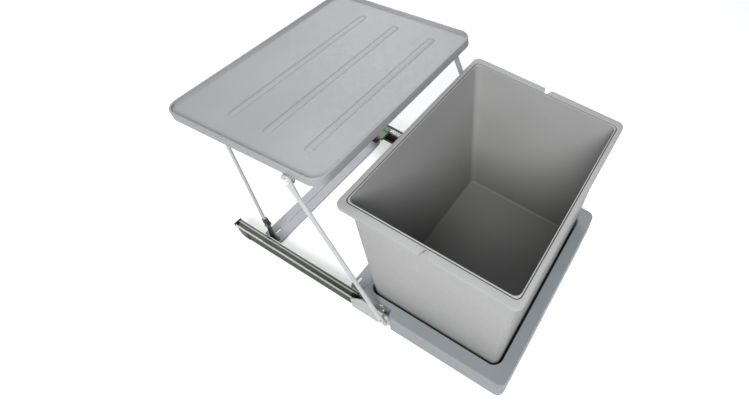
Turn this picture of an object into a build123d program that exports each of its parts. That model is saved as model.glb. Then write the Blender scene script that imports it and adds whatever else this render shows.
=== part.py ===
from build123d import *
import os
from math import cos, radians, sin

# A waste bin for a kitchen base cabinet, pulled out of the cabinet as it is when someone uses it.
# Two floor-mounted ball slides carry a plastic tray with the bin in it. The lid stays behind in the
# cabinet on two rear rods and two front arms, and comes down over the bin as the tray goes in.
# X runs across the unit, Y runs into the cabinet and Z runs up, all in millimetres. The origin is
# the centre of the four floor screws, on the cabinet floor. The left side is the one at minus X.

os.makedirs("parts", exist_ok=True)

# Driving dimensions of the frame on the cabinet floor
screw_spacing_x = 280.0
screw_spacing_y = 208.0
screw_slot_length = 14.0
screw_slot_width = 6.0
rail_outer_x = 187.0
rail_width = 15.5
rail_height = 46.7
rail_front_y = -135.0
rail_length = 295.0
rail_sheet = 1.5
rail_web_recess = 4.0
rail_hem_depth = 6.0
rail_bottom_lip = 9.0
rail_top_lip = 10.7
rail_track_width = 8.0
rail_track_depth = 4.2
rail_bend = 1.2
rail_edge_round = 0.6
rail_lug_places = ((-3.0, 20.0), (-42.0, 20.0))
rail_lug_length = 3.0
rail_lug_height = 12.0
rail_lug_step = 0.6
end_cap_wall = 4.0
end_cap_skin = 0.8
end_cap_length = 24.0
end_cap_round = 20.0
track_cap_length = 8.0
track_cap_stand = 0.6
rear_crossbar_y = 101.0
rear_crossbar_depth = 41.0
front_crossbar_y = -114.0
front_crossbar_depth = 34.0
crossbar_height = 4.0
crossbar_sheet = 1.5
crossbar_round = 22.0
crossbar_bead_length = 230.0
crossbar_bead_width = 9.0
crossbar_bead_height = 1.2
crossbar_bead_offset = 5.0
crossbar_ear_length = 14.0
crossbar_ear_round = 2.0
rivet_radius = 1.6
rivet_head_radius = 2.3
rivet_head_height = 1.4

# Driving dimensions of the slides' moving parts
drawer_travel = 226.0
ball_radius = 2.25
ball_play = 0.075
ball_rows_count = 2
ball_pitch = 15.0
cage_length = 46.0
cage_sheet = 0.7
inner_rail_sheet = 1.2
inner_rail_flange = 6.3
inner_rail_inset = 1.0
shelf_sheet = 1.5
shelf_inner_x = 150.0
shelf_rear_y = -177.0
slide_play = 0.4

# Driving dimensions of the tray
tray_width = 389.0
tray_front_y = -453.0
tray_rear_y = -158.0
tray_top = 91.0
tray_wall = 2.3
tray_floor_top = 33.0
tray_floor = 2.5
tray_skirt_bottom = 37.0
tray_corner = 14.0
tray_edge_round = 1.4
tray_notch_depth = 14.5
tray_notch_round = 5.0
tray_over_rail = 3.3
tray_rib_spacing = 60.0
tray_rib_count = 5
tray_rib_bottom = 60.0
tray_rib_wall = 2.0
tray_mouth_gap = 5.0
tray_foot_gap = 0.6
tray_inner_round = 5.0

# Driving dimensions of the bin
bin_width = 380.0
bin_depth = 296.0
bin_centre_y = -297.0
rim_top = 374.0
bin_wall = 2.5
bin_floor = 3.0
bin_draft_x = 0.032
bin_draft_y = 0.04
bin_corner = 13.0
bin_foot_round = 6.0
rim_reach_x = 13.5
rim_reach_y = 8.5
rim_thickness = 3.0
rim_skirt = 5.5
rim_skirt_wall = 2.2
rim_corner = 12.0
rim_groove_inset_x = 12.5
rim_groove_inset_y = 7.8
rim_groove_corner = 9.0
rim_groove_width = 1.6
rim_groove_depth = 2.0
rim_bridge_width = 2.0
rim_notch_mouth = 15.0
rim_notch_foot = 5.0
rim_edge_round = 0.8

# Driving dimensions of the lid, as it stands over the cabinet with the bin pulled out
lid_width = 390.0
lid_depth = 315.0
lid_front_y = -135.0631
lid_front_z = 418.0621
lid_tilt = 7.7
lid_corner = 24.0
lid_skirt = 16.0
lid_wall = 2.2
lid_lip = 3.0
lid_recess = 6.0
lid_panel = 2.5
lid_recess_round = 2.5
lid_lip_round = 0.7
lid_bead_places = (61.0, 142.0, 217.0)
lid_bead_length = 312.0
lid_bead_width = 16.0
lid_bead_height = 1.4
lid_bead_round = 0.6
lid_lug_radius = 9.5

# Driving dimensions of the rear rods that carry the lid
rear_pivot_x = 158.0
rear_pivot_y = 97.0
rear_pivot_z = 60.0
lid_hinge_x = 140.0
lid_hinge_u = 301.0
lid_hinge_drop = 18.0
rod_radius = 3.0
rod_eye_radius = 5.5
rod_eye_thickness = 4.0
rod_eye_neck = 16.0
rod_straight = 8.0
rear_post_thickness = 3.0
rear_post_round = 5.0
rear_post_base_x = 14.0
rear_post_base_y = 20.0
rear_post_base = 2.0
fork_play = 0.2
fork_ear = 2.0
fork_round = 5.0
fork_length = 18.0
fork_slot = 9.0
pin_radius = 2.5
pin_head_radius = 4.0
pin_head_height = 1.4
pin_play = 0.05
hinge_ear = 2.2
hinge_ear_round = 6.0
hinge_base = 1.6
hinge_base_x = 24.0
hinge_base_u = 15.0

# Driving dimensions of the front arms and of the brackets that carry them on the tray
arm_pivot_y = -212.0
arm_pivot_z = 64.0
lid_arm_u = 60.0
lid_arm_drop = 22.0
arm_sheet = 3.0
arm_outer_x = 200.5
arm_width = 11.5
arm_foot_radius = 9.0
arm_tab_radius = 10.0
arm_taper_length = 30.0
arm_edge_chamfer = 0.4
arm_pin_radius = 4.0
arm_head_radius = 6.5
arm_head_height = 1.8
arm_rivet_radius = 3.0
arm_spacer_radius = 7.0
arm_face_gap = 0.3
bush_radius = 7.5
bush_washer_radius = 6.0
bush_washer = 0.8
bracket_sheet = 1.5
bracket_rail_gap = 1.3
bracket_bottom = 14.0
bracket_top = 75.0
bracket_rear_top = 50.0
bracket_rear_y = -131.0
bracket_front_reach = 7.5
bracket_tray_gap = 1.8
bracket_upstand = 12.0
bracket_corner = 5.0
screw_radius = 2.0
screw_head_radius = 4.0
screw_head_height = 2.2
screw_bite = 4.0

# Driving dimensions of the stop block on the right rail
stop_length = 30.0
stop_width = 28.0
stop_height = 8.0
stop_front_y = 60.4
stop_clip = 1.5
stop_round = 1.5

# Sizes that follow from the ones above
rail_inner_x = rail_outer_x - rail_width
rail_rear_y = rail_front_y + rail_length
rail_metal_rear_y = rail_rear_y - end_cap_wall
rail_track_floor = rail_height - rail_track_depth
lid_rear_tilt = radians(lid_tilt)
half_rim_x = bin_width / 2
half_rim_y = bin_depth / 2
body_half_x = half_rim_x - rim_reach_x
body_half_y = half_rim_y - rim_reach_y
rail_web_x = rail_outer_x - rail_web_recess
SIDES = ((1, "right"), (-1, "left"))


def write(piece, name):
    """Labels a finished piece and writes it as one file."""
    piece.part.label = name
    export_step(piece.part, f"parts/{name}.step")


def side_plane(x, y=0.0, z=0.0):
    """A plane square to X, whose own axes run along Y and Z."""
    return Plane(origin=(x, y, z), x_dir=(0, 1, 0), z_dir=(1, 0, 0))


def lid_point(across, back, down):
    """A point of the lid: across it, back from its front edge and down from its top."""
    y = lid_front_y + back * cos(lid_rear_tilt) - down * sin(lid_rear_tilt)
    z = lid_front_z - back * sin(lid_rear_tilt) - down * cos(lid_rear_tilt)
    return Vector(across, y, z)


def lid_plane(down=0.0):
    """A plane in the lid's own lie, with its Y axis running back along the lid."""
    normal = (0, sin(lid_rear_tilt), cos(lid_rear_tilt))
    return Plane(origin=lid_point(0, 0, down), x_dir=(1, 0, 0), z_dir=normal)


def lid_side_plane(x):
    """A plane square to X whose own axes run back along the lid and up out of it."""
    back = (0, cos(lid_rear_tilt), -sin(lid_rear_tilt))
    return Plane(origin=lid_point(x, 0, 0), x_dir=back, z_dir=(1, 0, 0))


def link_plane(x, foot, head):
    """A plane square to X at a link's foot, whose X axis runs along the link to its head."""
    along = (head - foot).normalized()
    return Plane(origin=(x, foot.Y, foot.Z), x_dir=(0, along.Y, along.Z), z_dir=(1, 0, 0))


rod_foot = Vector(0, rear_pivot_y, rear_pivot_z)
rod_head = lid_point(0, lid_hinge_u, lid_hinge_drop)
rod_length = (rod_head - rod_foot).length
arm_foot = Vector(0, arm_pivot_y, arm_pivot_z)
arm_head = lid_point(0, lid_arm_u, lid_arm_drop)
arm_length = (arm_head - arm_foot).length


def fixed_rail(side):
    """The outer slide member: a rolled channel that opens inwards, with a track along its top."""
    outer = side * rail_outer_x
    hem = side * (rail_outer_x - rail_sheet)
    web_out = side * rail_web_x
    web = side * (rail_web_x - rail_sheet)
    inner = side * rail_inner_x
    lip = side * (rail_inner_x + rail_sheet)
    track = side * (rail_outer_x - rail_sheet - rail_track_width)
    riser = side * (rail_outer_x - rail_sheet - rail_track_width - rail_sheet)
    ceiling = rail_track_floor - rail_sheet
    hem_bottom = rail_height - rail_hem_depth
    with BuildPart() as rail:
        with BuildSketch(Plane.XZ.offset(-rail_metal_rear_y)) as profile:
            with BuildLine():
                Polyline(
                    (outer, rail_height), (outer, hem_bottom), (web_out, hem_bottom - rail_sheet),
                    (web_out, 0), (inner, 0), (inner, rail_bottom_lip),
                    (lip, rail_bottom_lip), (lip, rail_sheet), (web, rail_sheet), (web, ceiling),
                    (riser, ceiling), (riser, rail_height - rail_sheet),
                    (lip, rail_height - rail_sheet), (lip, rail_height - rail_top_lip),
                    (inner, rail_height - rail_top_lip), (inner, rail_height),
                    (track, rail_height), (track, rail_track_floor), (hem, rail_track_floor),
                    (hem, rail_height), close=True,
                )
            make_face()
            fillet(profile.vertices().group_by(Axis.Y)[0], rail_bend)
            fillet(profile.vertices().group_by(Axis.Y)[-1], rail_edge_round)
        extrude(amount=rail_metal_rear_y - rail_front_y)
        cap_centre = (rail_rear_y - end_cap_round, end_cap_round)
        with BuildSketch(side_plane(0)):
            with Locations((rail_rear_y - end_cap_round, 0)):
                Rectangle(end_cap_round, end_cap_round, align=(Align.MIN, Align.MIN))
            with Locations(cap_centre):
                Circle(end_cap_round - end_cap_wall, mode=Mode.SUBTRACT)
        extrude(amount=side * (rail_outer_x + rail_sheet), mode=Mode.SUBTRACT)
        with BuildSketch(side_plane(web_out)):
            with Locations(*rail_lug_places):
                Rectangle(rail_lug_length, rail_lug_height)
        extrude(amount=side * rail_lug_step)
        with BuildSketch(side_plane(inner)):
            with Locations(*rivet_places()):
                Circle(rivet_radius)
        extrude(amount=side * rail_sheet, mode=Mode.SUBTRACT)
    return rail


def rivet_places():
    """Where the crossbars' ears are riveted to a rail's bottom lip, as Y and Z."""
    y = rear_crossbar_y + rear_crossbar_depth / 2 - crossbar_ear_length / 2
    z = (crossbar_height + rail_bottom_lip) / 2
    return ((y, z), (-y, z))


def rail_end_cap(side):
    """The black plastic cap round a rail's rear end, with its lower corner rounded."""
    skin = side * (rail_web_x + end_cap_skin)
    shoulder = rail_height - rail_hem_depth - rail_sheet
    with BuildPart() as cap:
        with BuildSketch(side_plane(side * rail_inner_x)) as silhouette:
            with Locations((rail_rear_y - end_cap_length, 0)):
                Rectangle(end_cap_length, rail_height, align=(Align.MIN, Align.MIN))
            fillet(
                silhouette.vertices().group_by(Axis.X)[-1].sort_by(Axis.Y)[0], end_cap_round
            )
        extrude(amount=side * rail_width)
        with BuildSketch(side_plane(skin)):
            with Locations((rail_rear_y, 0)):
                Rectangle(rail_length, shoulder, align=(Align.MAX, Align.MIN))
        extrude(amount=side * rail_width, mode=Mode.SUBTRACT)
        with BuildSketch(side_plane(0)):
            with Locations((rail_metal_rear_y, 0)):
                Rectangle(rail_length, shoulder, align=(Align.MAX, Align.MIN))
            with Locations((rail_rear_y - end_cap_round, 0)):
                Rectangle(
                    end_cap_round, end_cap_round, align=(Align.MIN, Align.MIN), mode=Mode.SUBTRACT
                )
            with Locations((rail_rear_y - end_cap_round, end_cap_round)):
                Circle(end_cap_round - end_cap_wall)
        extrude(amount=side * rail_web_x, mode=Mode.SUBTRACT)
        with BuildSketch(side_plane(0)):
            with Locations((rail_metal_rear_y, shoulder)):
                Rectangle(rail_length, rail_height, align=(Align.MAX, Align.MIN))
        extrude(amount=side * rail_outer_x, mode=Mode.SUBTRACT)
    return cap


def rail_track_cap(side):
    """The black plug that closes the front end of a rail's top track."""
    centre = side * (rail_outer_x - rail_sheet - rail_track_width / 2)
    with BuildPart() as cap:
        with BuildSketch(Plane((centre, rail_front_y, rail_track_floor))):
            Rectangle(rail_track_width, track_cap_length, align=(Align.CENTER, Align.MIN))
        extrude(amount=rail_track_depth + track_cap_stand)
        chamfer(cap.faces().sort_by(Axis.Z)[-1].edges(), track_cap_stand / 2)
    return cap


def crossbar(middle_y, depth, end):
    """A pressed plate across the floor between the rails; end is 1 for the rear, -1 for the front."""
    length = 2 * rail_inner_x
    middle = Plane((0, middle_y, 0))
    screws = Plane((0, end * screw_spacing_y / 2, 0))
    with BuildPart() as bar:
        with BuildSketch(middle) as outline:
            Rectangle(length, depth)
            fillet(outline.vertices().group_by(Axis.Y)[0 if end > 0 else -1], crossbar_round)
        extrude(amount=crossbar_height)
        with BuildSketch(middle) as inside:
            Rectangle(length - 2 * crossbar_sheet, depth - 2 * crossbar_sheet)
            fillet(
                inside.vertices().group_by(Axis.Y)[0 if end > 0 else -1],
                crossbar_round - crossbar_sheet,
            )
        extrude(amount=crossbar_height - crossbar_sheet, mode=Mode.SUBTRACT)
        with BuildSketch(middle.offset(crossbar_height)):
            with Locations((0, end * crossbar_bead_offset)):
                SlotOverall(crossbar_bead_length, crossbar_bead_width)
        extrude(amount=crossbar_bead_height)
        chamfer(bar.faces().sort_by(Axis.Z)[-1].edges(), crossbar_bead_height / 2)
        ear_centre = end * rivet_places()[0][0]
        for side, _ in SIDES:
            with BuildSketch(side_plane(side * rail_inner_x)) as ear:
                with Locations((ear_centre, crossbar_height - crossbar_sheet)):
                    Rectangle(
                        crossbar_ear_length, rail_bottom_lip - crossbar_height + crossbar_sheet,
                        align=(Align.CENTER, Align.MIN),
                    )
                fillet(ear.vertices().group_by(Axis.Y)[-1], crossbar_ear_round)
                with Locations((ear_centre, rivet_places()[0][1])):
                    Circle(rivet_radius, mode=Mode.SUBTRACT)
            extrude(amount=-side * crossbar_sheet)
        collar = 2 * crossbar_sheet
        with BuildSketch(screws):
            with GridLocations(screw_spacing_x, 0, 2, 1):
                SlotOverall(screw_slot_length + collar, screw_slot_width + collar)
        extrude(amount=crossbar_height)
        with BuildSketch(screws):
            with GridLocations(screw_spacing_x, 0, 2, 1):
                SlotOverall(screw_slot_length, screw_slot_width)
        extrude(amount=crossbar_height, mode=Mode.SUBTRACT)
    return bar


def frame_rivets():
    """The rivets that hold the crossbars' ears to the rails, one at each end of each bar."""
    with BuildPart() as rivets:
        for side, _ in SIDES:
            inside = side * (rail_inner_x - crossbar_sheet)
            with BuildSketch(side_plane(inside)):
                with Locations(*rivet_places()):
                    Circle(rivet_radius)
            extrude(amount=side * (crossbar_sheet + rail_sheet))
            with BuildSketch(side_plane(inside)):
                with Locations(*rivet_places()):
                    Circle(rivet_head_radius)
            extrude(amount=-side * rivet_head_height)
        chamfer(
            rivets.edges().filter_by(GeomType.CIRCLE).filter_by(
                lambda edge: abs(edge.center().X) < rail_inner_x - crossbar_sheet - 0.01
            ),
            rivet_head_height / 2,
        )
    return rivets


def stop_block():
    """The green block clipped over the right rail's inner edge, which the tray closes against."""
    with BuildPart() as block:
        with BuildSketch(Plane((rail_inner_x, stop_front_y, rail_height - stop_height))):
            Rectangle(stop_width, stop_length, align=(Align.MAX, Align.MIN))
        extrude(amount=stop_height)
        fillet(block.edges().filter_by(Axis.Z).group_by(Axis.X)[0], stop_round)
        with BuildSketch(Plane((rail_inner_x, stop_front_y, rail_height))):
            Rectangle(
                2 * (rail_width - rail_sheet - rail_track_width), stop_length,
                align=(Align.CENTER, Align.MIN),
            )
        extrude(amount=stop_clip)
        chamfer(block.faces().sort_by(Axis.Z)[-1].edges(), stop_clip / 2)
    return block


inner_top = rail_track_floor - rail_sheet - 2 * (ball_radius + ball_play)
inner_bottom = rail_sheet + 2 * (ball_radius + ball_play)
inner_web_outer = rail_web_x - rail_sheet - cage_sheet - 2 * slide_play
ball_x = inner_web_outer - inner_rail_flange / 2
upper_ball_z = inner_top + ball_radius + ball_play
lower_ball_z = inner_bottom - ball_radius - ball_play
inner_rail_front_y = rail_front_y + inner_rail_inset - drawer_travel
inner_rail_rear_y = rail_rear_y - inner_bottom - drawer_travel
inner_rail_round = end_cap_round - inner_bottom
shelf_top = tray_floor_top - tray_floor
overlap_centre_y = (rail_front_y + inner_rail_rear_y) / 2


def inner_rail(side):
    """The moving slide member: a channel between the ball rows, with a shelf under the tray."""
    web_out = side * inner_web_outer
    web_in = side * (inner_web_outer - inner_rail_sheet)
    tip = side * (inner_web_outer - inner_rail_flange)
    shelf = side * shelf_inner_x
    shelf_bottom = shelf_top - shelf_sheet
    with BuildPart() as rail:
        with BuildSketch(Plane.XZ.offset(-inner_rail_front_y)) as profile:
            with BuildLine():
                Polyline(
                    (web_out, inner_top), (web_out, inner_bottom), (tip, inner_bottom),
                    (tip, inner_bottom + inner_rail_sheet),
                    (web_in, inner_bottom + inner_rail_sheet), (web_in, shelf_bottom),
                    (shelf, shelf_bottom), (shelf, shelf_top), (web_in, shelf_top),
                    (web_in, inner_top - inner_rail_sheet), (tip, inner_top - inner_rail_sheet),
                    (tip, inner_top), close=True,
                )
            make_face()
        extrude(amount=-(inner_rail_rear_y - inner_rail_front_y))
        with BuildSketch(Plane((shelf, shelf_rear_y, shelf_bottom))):
            Rectangle(2 * abs(web_in - shelf), -shelf_rear_y, align=(Align.CENTER, Align.MIN))
        extrude(amount=shelf_sheet, mode=Mode.SUBTRACT)
        round_y = inner_rail_rear_y - inner_rail_round
        with BuildSketch(side_plane(0, round_y, inner_bottom + inner_rail_round)):
            Rectangle(rail_length, rail_height, align=(Align.MIN, Align.MAX))
            Circle(inner_rail_round, mode=Mode.SUBTRACT)
        extrude(amount=side * rail_outer_x, mode=Mode.SUBTRACT)
        with BuildSketch(Plane.XY.offset(shelf_bottom)):
            with Locations(*tray_screw_places(side)):
                Circle(screw_radius)
        extrude(amount=shelf_sheet, mode=Mode.SUBTRACT)
    return rail


def tray_screw_places(side):
    """Where the tray is screwed to one side's shelf, as X and Y."""
    x = side * (shelf_inner_x + (tray_side_at(tray_floor_top)[0] - shelf_inner_x) / 2)
    return ((x, bin_centre_y - bin_depth / 6), (x, bin_centre_y + bin_depth / 3))


def ball_places(z):
    """Where one row of balls sits along a slide, as Y and Z."""
    first = -(ball_rows_count - 1) / 2
    return [(overlap_centre_y + (first + i) * ball_pitch, z) for i in range(ball_rows_count)]


def ball_cage(side):
    """The thin strip that spaces the balls, in the gap between the two webs of a slide."""
    outer = side * (inner_web_outer + slide_play + cage_sheet)
    inner = side * (inner_web_outer + slide_play)
    tip = side * (inner_web_outer - inner_rail_flange + slide_play)
    top = upper_ball_z + cage_sheet / 2
    bottom = lower_ball_z - cage_sheet / 2
    with BuildPart() as cage:
        with BuildSketch(Plane.XZ.offset(-(overlap_centre_y + cage_length / 2))):
            with BuildLine():
                Polyline(
                    (outer, top), (tip, top), (tip, top - cage_sheet), (inner, top - cage_sheet),
                    (inner, bottom + cage_sheet), (tip, bottom + cage_sheet), (tip, bottom),
                    (outer, bottom), close=True,
                )
            make_face()
        extrude(amount=cage_length)
        with BuildSketch(Plane.XY):
            with Locations(*[(side * ball_x, y) for y, _ in ball_places(0)]):
                Circle(ball_radius + 2 * ball_play)
        extrude(amount=rail_height, mode=Mode.SUBTRACT)
    return cage


def bearing_balls(side):
    """The steel balls of one slide, an upper and a lower row."""
    with BuildPart() as balls:
        places = ball_places(upper_ball_z) + ball_places(lower_ball_z)
        with Locations(*[(side * ball_x, y, z) for y, z in places]):
            Sphere(ball_radius)
    return balls


def bin_side_at(z):
    """Half the bin's outside width and depth at a height, below the rim."""
    drop = rim_top - z
    return body_half_x - bin_draft_x * drop, body_half_y - bin_draft_y * drop


def tray_side_at(z):
    """Half the inside width and depth of the tray's well at a height."""
    rise = (z - tray_floor_top) / (tray_top - tray_floor_top)
    gap = tray_foot_gap + (tray_mouth_gap - tray_foot_gap) * rise
    half_x, half_y = bin_side_at(z)
    return half_x + gap, half_y + gap


def bin_level(z):
    """A level plane centred on the bin."""
    return Plane((0, bin_centre_y, z))


def waste_bin():
    """The bin: a drafted tub with a flat flange, a groove round its mouth and two bag notches."""
    foot_x, foot_y = bin_side_at(tray_floor_top)
    with BuildPart() as tub:
        with BuildSketch(bin_level(tray_floor_top)):
            RectangleRounded(2 * foot_x, 2 * foot_y, bin_corner)
        with BuildSketch(bin_level(rim_top)):
            RectangleRounded(2 * body_half_x, 2 * body_half_y, bin_corner)
        loft()
        fillet(tub.edges().group_by(Axis.Z)[0], bin_foot_round)
        with BuildSketch(bin_level(rim_top - rim_thickness)):
            RectangleRounded(bin_width, bin_depth, rim_corner)
        extrude(amount=rim_thickness)
        with BuildSketch(bin_level(rim_top - rim_skirt)):
            RectangleRounded(bin_width, bin_depth, rim_corner)
            RectangleRounded(
                bin_width - 2 * rim_skirt_wall, bin_depth - 2 * rim_skirt_wall,
                rim_corner - rim_skirt_wall, mode=Mode.SUBTRACT,
            )
        extrude(amount=rim_skirt)
        chamfer(tub.edges().group_by(Axis.Z)[-1], rim_edge_round / 2)
        floor_top = tray_floor_top + bin_floor
        inner_foot_x, inner_foot_y = bin_side_at(floor_top)
        with BuildSketch(bin_level(floor_top)):
            RectangleRounded(
                2 * (inner_foot_x - bin_wall), 2 * (inner_foot_y - bin_wall), bin_corner - bin_wall
            )
        with BuildSketch(bin_level(rim_top)):
            RectangleRounded(
                2 * (body_half_x - bin_wall), 2 * (body_half_y - bin_wall), bin_corner - bin_wall
            )
        loft(mode=Mode.SUBTRACT)
        fillet(
            tub.edges().filter_by_position(Axis.Z, floor_top - 0.01, floor_top + 0.01),
            bin_foot_round - bin_wall,
        )
        groove_x = bin_width - 2 * rim_groove_inset_x
        groove_y = bin_depth - 2 * rim_groove_inset_y
        with BuildSketch(bin_level(rim_top)):
            RectangleRounded(groove_x, groove_y, rim_groove_corner)
            RectangleRounded(
                groove_x - 2 * rim_groove_width, groove_y - 2 * rim_groove_width,
                rim_groove_corner - rim_groove_width, mode=Mode.SUBTRACT,
            )
            with GridLocations(
                groove_x - rim_groove_corner, groove_y - rim_groove_corner, 2, 2
            ):
                Rectangle(rim_bridge_width, rim_groove_corner, mode=Mode.SUBTRACT)
        extrude(amount=-rim_groove_depth, mode=Mode.SUBTRACT)
        for side, _ in SIDES:
            mouth_x = side * (half_rim_x + rim_edge_round)
            notch_x = side * (half_rim_x - rim_groove_inset_x)
            with BuildSketch(bin_level(rim_top)):
                with BuildLine():
                    Polyline(
                        (mouth_x, rim_notch_mouth / 2), (notch_x, rim_notch_foot / 2),
                        (notch_x, -rim_notch_foot / 2), (mouth_x, -rim_notch_mouth / 2), close=True,
                    )
                make_face()
            extrude(amount=-rim_skirt, mode=Mode.SUBTRACT)
    return tub


def tray():
    """The tray that carries the bin: a flange with a deep skirt round a well for the bin's foot."""
    half_width = tray_width / 2
    middle_y = (tray_front_y + tray_rear_y) / 2
    notch_front_y = arm_pivot_y - bracket_front_reach - bracket_tray_gap
    notch_length = tray_rear_y - notch_front_y
    over_rail = rail_height + tray_over_rail
    well_top_x, well_top_y = tray_side_at(tray_top)
    well_foot_x, well_foot_y = tray_side_at(tray_floor_top)
    well_corner = bin_corner + tray_mouth_gap
    with BuildPart() as pan:
        with BuildSketch(Plane.XY.offset(tray_top)) as outline:
            with Locations((0, middle_y)):
                Rectangle(tray_width, tray_rear_y - tray_front_y)
            for side, _ in SIDES:
                with Locations((side * half_width, tray_rear_y)):
                    Rectangle(2 * tray_notch_depth, 2 * notch_length, mode=Mode.SUBTRACT)
            fillet(outline.vertices().group_by(Axis.Y)[1:], tray_notch_round)
            fillet(outline.vertices().group_by(Axis.Y)[0], tray_corner)
        with BuildSketch(Plane.XY.offset(tray_top), mode=Mode.PRIVATE) as inside:
            offset(outline.sketch, amount=-tray_wall, kind=Kind.INTERSECTION)
        extrude(amount=-(tray_top - tray_skirt_bottom))
        extrude(
            inside.sketch.moved(Location((0, 0, -tray_wall))),
            amount=-(tray_top - tray_skirt_bottom), mode=Mode.SUBTRACT,
        )
        with BuildSketch(Plane.XY.offset(tray_skirt_bottom)):
            with Locations((0, notch_front_y)):
                Rectangle(
                    2 * tray_width, notch_length + tray_wall, align=(Align.CENTER, Align.MIN)
                )
            with Locations((0, notch_front_y - tray_wall)):
                Rectangle(
                    2 * (bracket_inner_x + bracket_sheet), notch_length,
                    align=(Align.CENTER, Align.MIN),
                )
        extrude(amount=over_rail - tray_skirt_bottom, mode=Mode.SUBTRACT)
        with BuildSketch(bin_level(shelf_top)):
            RectangleRounded(
                2 * (well_foot_x + tray_wall), 2 * (well_foot_y + tray_wall),
                bin_corner + tray_wall,
            )
        with BuildSketch(bin_level(tray_top)):
            RectangleRounded(
                2 * (well_top_x + tray_wall), 2 * (well_top_y + tray_wall), well_corner + tray_wall
            )
        loft()
        fillet(pan.edges().group_by(Axis.Z)[0], tray_inner_round)
        front_wall_y = bin_centre_y - well_top_y - tray_wall
        for index in range(tray_rib_count):
            x = (index - (tray_rib_count - 1) / 2) * tray_rib_spacing
            with BuildSketch(Plane((x, tray_front_y + tray_wall, tray_rib_bottom))):
                Rectangle(
                    tray_rib_wall, front_wall_y - tray_front_y + tray_wall,
                    align=(Align.CENTER, Align.MIN),
                )
            extrude(amount=tray_top - tray_wall - tray_rib_bottom)
        with BuildSketch(bin_level(tray_floor_top)):
            RectangleRounded(2 * well_foot_x, 2 * well_foot_y, bin_corner)
        with BuildSketch(bin_level(tray_top)):
            RectangleRounded(2 * well_top_x, 2 * well_top_y, well_corner)
        loft(mode=Mode.SUBTRACT)
        fillet(
            pan.edges().filter_by_position(Axis.Z, tray_floor_top - 0.01, tray_floor_top + 0.01),
            tray_inner_round,
        )
        rim = pan.faces().sort_by(Axis.Z)[-1]
        chamfer(rim.outer_wire().edges(), tray_edge_round / 2)
        with BuildSketch(Plane.XY.offset(shelf_top)):
            for side, _ in SIDES:
                with Locations(*tray_screw_places(side)):
                    Circle(screw_radius)
        extrude(amount=screw_bite / 2, mode=Mode.SUBTRACT)
        for side, _ in SIDES:
            with BuildSketch(side_plane(side * bracket_wall_x)):
                with Locations(*bracket_screw_places()):
                    Circle(screw_radius)
            extrude(amount=-side * tray_wall, mode=Mode.SUBTRACT)
    return pan


bracket_inner_x = rail_outer_x + bracket_rail_gap
bracket_wall_x = tray_width / 2 - tray_notch_depth


def bracket_screw_places():
    """Where a side bracket is screwed to the tray, as Y and Z."""
    z = bracket_top + bracket_upstand / 2
    front = arm_pivot_y + arm_foot_radius
    rear = tray_rear_y - 2 * screw_head_radius
    return ((front + screw_head_radius, z), (rear, z))


def side_bracket(side):
    """The zinc plate beside the rail that carries a front arm's foot, folded up against the tray."""
    plate = side * bracket_inner_x
    wall = side * bracket_wall_x
    front_y = arm_pivot_y - bracket_front_reach
    fold_front_y = arm_pivot_y + arm_foot_radius - screw_head_radius
    fold_rear_y = tray_rear_y - screw_head_radius / 2
    with BuildPart() as bracket:
        with BuildSketch(side_plane(plate)) as outline:
            with BuildLine():
                Polyline(
                    (front_y, bracket_top), (front_y, bracket_rear_top - bracket_upstand),
                    (arm_pivot_y + bracket_front_reach, bracket_bottom),
                    (bracket_rear_y, bracket_bottom), (bracket_rear_y, bracket_rear_top),
                    (fold_rear_y, bracket_top), close=True,
                )
            make_face()
            fillet(outline.vertices(), bracket_corner)
            with Locations((arm_pivot_y, arm_pivot_z)):
                Circle(arm_pin_radius, mode=Mode.SUBTRACT)
        extrude(amount=side * bracket_sheet)
        with BuildSketch(Plane.XZ.offset(-fold_rear_y)):
            with BuildLine():
                Polyline(
                    (plate + side * bracket_sheet, bracket_top),
                    (plate + side * bracket_sheet, bracket_top - bracket_sheet),
                    (wall, bracket_top - bracket_sheet), (wall, bracket_top + bracket_upstand),
                    (wall + side * bracket_sheet, bracket_top + bracket_upstand),
                    (wall + side * bracket_sheet, bracket_top), close=True,
                )
            make_face()
        extrude(amount=fold_rear_y - fold_front_y)
        with BuildSketch(side_plane(wall)):
            with Locations(*bracket_screw_places()):
                Circle(screw_radius)
        extrude(amount=side * bracket_sheet, mode=Mode.SUBTRACT)
    return bracket


def bracket_screws():
    """The pan-head screws that hold both side brackets to the tray."""
    with BuildPart() as screws:
        for side, _ in SIDES:
            seat = side * (bracket_wall_x + bracket_sheet)
            with BuildSketch(side_plane(seat)):
                with Locations(*bracket_screw_places()):
                    Circle(screw_head_radius)
            extrude(amount=side * screw_head_height)
            with BuildSketch(side_plane(seat)):
                with Locations(*bracket_screw_places()):
                    Circle(screw_radius)
            extrude(amount=-side * (bracket_sheet + tray_wall))
        chamfer(
            screws.edges().filter_by(GeomType.CIRCLE).filter_by(
                lambda edge: abs(edge.center().X) > bracket_wall_x + bracket_sheet + 0.01
            ),
            screw_head_height / 2,
        )
    return screws


def tray_screws():
    """The screws that come up through the slides' shelves into the tray."""
    seat_z = shelf_top - shelf_sheet
    with BuildPart() as screws:
        for side, _ in SIDES:
            with BuildSketch(Plane.XY.offset(seat_z)):
                with Locations(*tray_screw_places(side)):
                    Circle(screw_head_radius)
            extrude(amount=-screw_head_height)
            with BuildSketch(Plane.XY.offset(seat_z)):
                with Locations(*tray_screw_places(side)):
                    Circle(screw_radius)
            extrude(amount=shelf_sheet + screw_bite / 2)
        chamfer(screws.faces().group_by(Axis.Z)[0].edges(), screw_head_height / 3)
    return screws


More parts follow.
